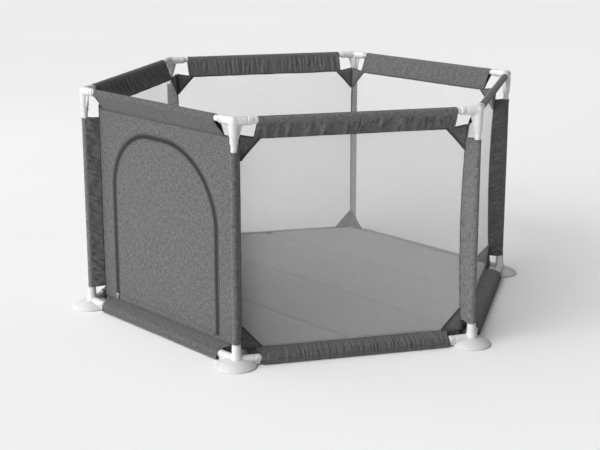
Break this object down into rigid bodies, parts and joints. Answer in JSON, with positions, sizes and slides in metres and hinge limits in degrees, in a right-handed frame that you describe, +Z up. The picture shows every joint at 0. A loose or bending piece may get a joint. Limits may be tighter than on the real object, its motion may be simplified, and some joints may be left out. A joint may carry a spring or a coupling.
{
  "type": "play pen",
  "caption": "Six-sided free-standing play pen: white tube frame, grey cloth cover with net walls, padded floor and a zipped door.",
  "frame": {"origin": "centre of the hexagon on the floor", "axes": "+Z up; the door is in the side that faces -Y; two of the six corners lie on the X axis"},
  "size_m": [1.387, 1.2156, 0.65],
  "materials": {
    "white_tube": "satin white",
    "white_plastic": "satin white",
    "foot_plastic": "matt off-white",
    "grey_cloth": "mottled linen weave",
    "net": "fine open net",
    "mat_cloth": "fine plain weave over padding",
    "zip_coil": "dark nylon coil",
    "zip_metal": "satin metal"
  },
  "bodies": {
    "frame_and_cover": {"post_right": "white_tube", "top_connector_right": "white_plastic", "bottom_connector_right": "white_plastic", "foot_right": "foot_plastic", "post_back_right": "white_tube", "top_connector_back_right": "white_plastic", "bottom_connector_back_right": "white_plastic", "foot_back_right": "foot_plastic", "post_back_left": "white_tube", "top_connector_back_left": "white_plastic", "bottom_connector_back_left": "white_plastic", "foot_back_left": "foot_plastic", "post_left": "white_tube", "top_connector_left": "white_plastic", "bottom_connector_left": "white_plastic", "foot_left": "foot_plastic", "post_front_left": "white_tube", "top_connector_front_left": "white_plastic", "bottom_connector_front_left": "white_plastic", "foot_front_left": "foot_plastic", "post_front_right": "white_tube", "top_connector_front_right": "white_plastic", "bottom_connector_front_right": "white_plastic", "foot_front_right": "foot_plastic", "top_rail_right_back": "white_tube", "bottom_rail_right_back": "white_tube", "top_sleeve_right_back": "grey_cloth", "mesh_panel_right_back": "net", "top_rail_back": "white_tube", "bottom_rail_back": "white_tube", "top_sleeve_back": "grey_cloth", "mesh_panel_back": "net", "top_rail_left_back": "white_tube", "bottom_rail_left_back": "white_tube", "top_sleeve_left_back": "grey_cloth", "mesh_panel_left_back": "net", "top_rail_left_front": "white_tube", "bottom_rail_left_front": "white_tube", "top_sleeve_left_front": "grey_cloth", "mesh_panel_left_front": "net", "top_rail_front": "white_tube", "bottom_rail_front": "white_tube", "top_sleeve_front": "grey_cloth", "top_rail_right_front": "white_tube", "bottom_rail_right_front": "white_tube", "top_sleeve_right_front": "grey_cloth", "mesh_panel_right_front": "net", "bottom_sleeves": "grey_cloth", "post_sleeves": "grey_cloth", "corner_gussets": "grey_cloth", "door_panel": "grey_cloth", "zipper_coil_panel": "zip_coil", "floor_mat": "mat_cloth"},
    "door_flap": {"door_flap": "grey_cloth", "zipper_coil_flap": "zip_coil"},
    "zip_slider": {"zipper_slider": "zip_metal"},
    "zip_pull": {"zipper_pull": "zip_metal"}
  },
  "joints": [
    {"name": "door_flap_hinge", "type": "hinge", "parent": "frame_and_cover", "child": "door_flap", "pos_m": [0, -0.5183, 0.042], "axis": [-1, 0, 0], "range_deg": [0, 90]},
    {"name": "zip_slide", "type": "slide", "parent": "frame_and_cover", "child": "zip_slider", "axis": [0, 0, 1], "range_m": [0, 0.3]},
    {"name": "zip_pull_swing", "type": "hinge", "parent": "zip_slider", "child": "zip_pull", "pos_m": [-0.236, -0.52502, 0.0495], "axis": [-1, 0, 0], "range_deg": [0, 150]}
  ]
}
